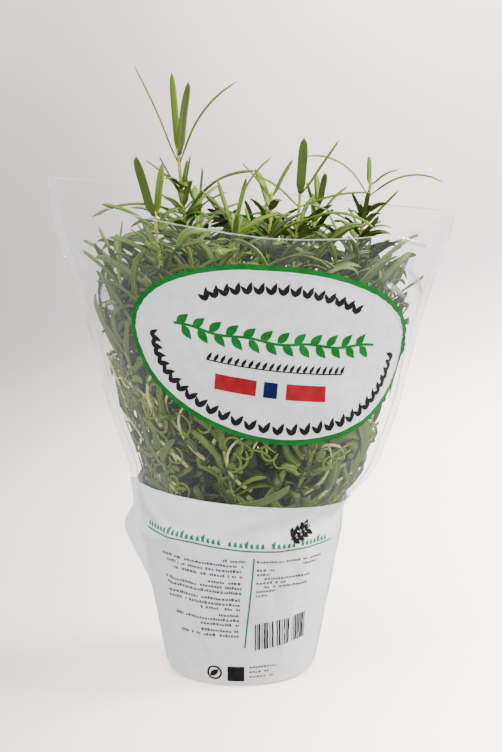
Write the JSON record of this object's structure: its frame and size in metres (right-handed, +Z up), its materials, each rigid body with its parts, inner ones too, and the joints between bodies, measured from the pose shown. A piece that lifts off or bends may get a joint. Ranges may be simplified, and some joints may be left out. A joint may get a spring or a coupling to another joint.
{
  "type": "potted herb",
  "caption": "Rosemary herb plant of rooted upright cuttings in a small tapered nursery pot, wrapped in a flared film sleeve open at the top",
  "frame": {"origin": "centre of the pot's underside, on the surface that it stands on", "axes": "+Z up along the pot's axis, -Y out of the sleeve's printed front, +X to the right seen from the front"},
  "size_m": [0.2158, 0.127, 0.3314],
  "materials": {
    "pot": "matt black moulded",
    "soil": "moist crumbly peat",
    "plant": "fresh leathery needles on green stems",
    "film": "clear film, glossy, printed"
  },
  "bodies": {
    "root": {"cutting_back": "plant", "cutting_back_left": "plant", "cutting_back_right": "plant", "cutting_centre": "plant", "cutting_front": "plant", "cutting_left_broad": "plant", "cutting_left_edge": "plant", "cutting_low_back": "plant", "cutting_low_back_left": "plant", "cutting_low_back_right": "plant", "cutting_low_front_left": "plant", "cutting_low_front_right": "plant", "cutting_low_left": "plant", "cutting_low_right": "plant", "cutting_right": "plant", "cutting_right_centre": "plant", "cutting_right_edge": "plant", "cutting_skirt_back": "plant", "cutting_skirt_front": "plant", "cutting_skirt_front_left": "plant", "cutting_skirt_front_right": "plant", "cutting_skirt_left": "plant", "cutting_skirt_right": "plant", "cutting_tall_left": "plant", "film_sleeve": "film", "pot": "pot", "soil": "soil"}
  },
  "joints": []
}
